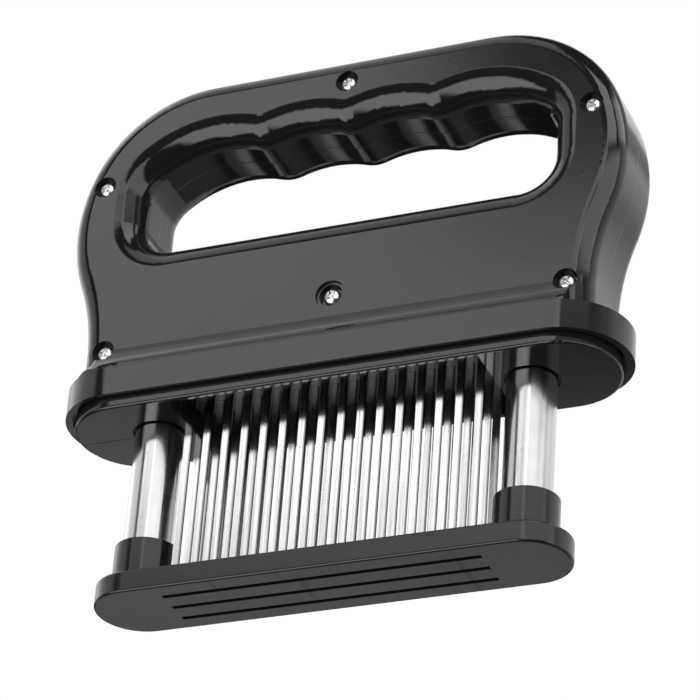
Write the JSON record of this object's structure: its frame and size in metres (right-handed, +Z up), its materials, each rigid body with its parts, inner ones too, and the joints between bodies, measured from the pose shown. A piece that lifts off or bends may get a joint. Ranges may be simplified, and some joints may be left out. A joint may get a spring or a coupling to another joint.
{
  "type": "blade meat tenderizer",
  "caption": "Hand-held blade meat tenderizer: a closed finger-grip handle carries rows of thin blades that push down through a slotted foot sliding on sprung chrome columns",
  "frame": {"origin": "Centre of the foot plate's underside, the middle of the bottom of the bounding box", "axes": "X along the length of the foot and handle, screw heads towards -Y, Z up through the handle"},
  "size_m": [0.1508, 0.035, 0.148],
  "materials": {
    "black_plastic": "glossy black moulded plastic",
    "bright_screw": "bright plated steel",
    "blade_steel": "polished stainless steel",
    "column_chrome": "mirror chrome",
    "spring_steel": "plain spring steel",
    "carrier_plastic": "matte black moulded plastic",
    "bush_plastic": "matte black plastic",
    "buffer_rubber": "matte black rubber"
  },
  "bodies": {
    "foot": {"foot_plate": "black_plastic", "left_column": "column_chrome", "right_column": "column_chrome", "left_column_clip": "spring_steel", "right_column_clip": "spring_steel", "left_spring": "spring_steel", "right_spring": "spring_steel"},
    "housing": {"front_housing": "black_plastic", "rear_housing": "black_plastic", "housing_screws": "bright_screw", "blade_carrier": "carrier_plastic", "blade_carrier_cap": "carrier_plastic", "front_blade_row": "blade_steel", "middle_blade_row": "blade_steel", "rear_blade_row": "blade_steel", "left_guide_bush": "bush_plastic", "right_guide_bush": "bush_plastic", "left_buffer_washer": "buffer_rubber", "right_buffer_washer": "buffer_rubber", "left_spring_rod": "spring_steel", "right_spring_rod": "spring_steel"}
  },
  "joints": [
    {"name": "housing_press", "type": "slide", "parent": "foot", "child": "housing", "axis": [0, 0, -1], "range_m": [0, 0.033], "stiffness_N_per_m": 600, "springref_m": -0.02, "deforming": ["left_spring", "right_spring"]}
  ]
}
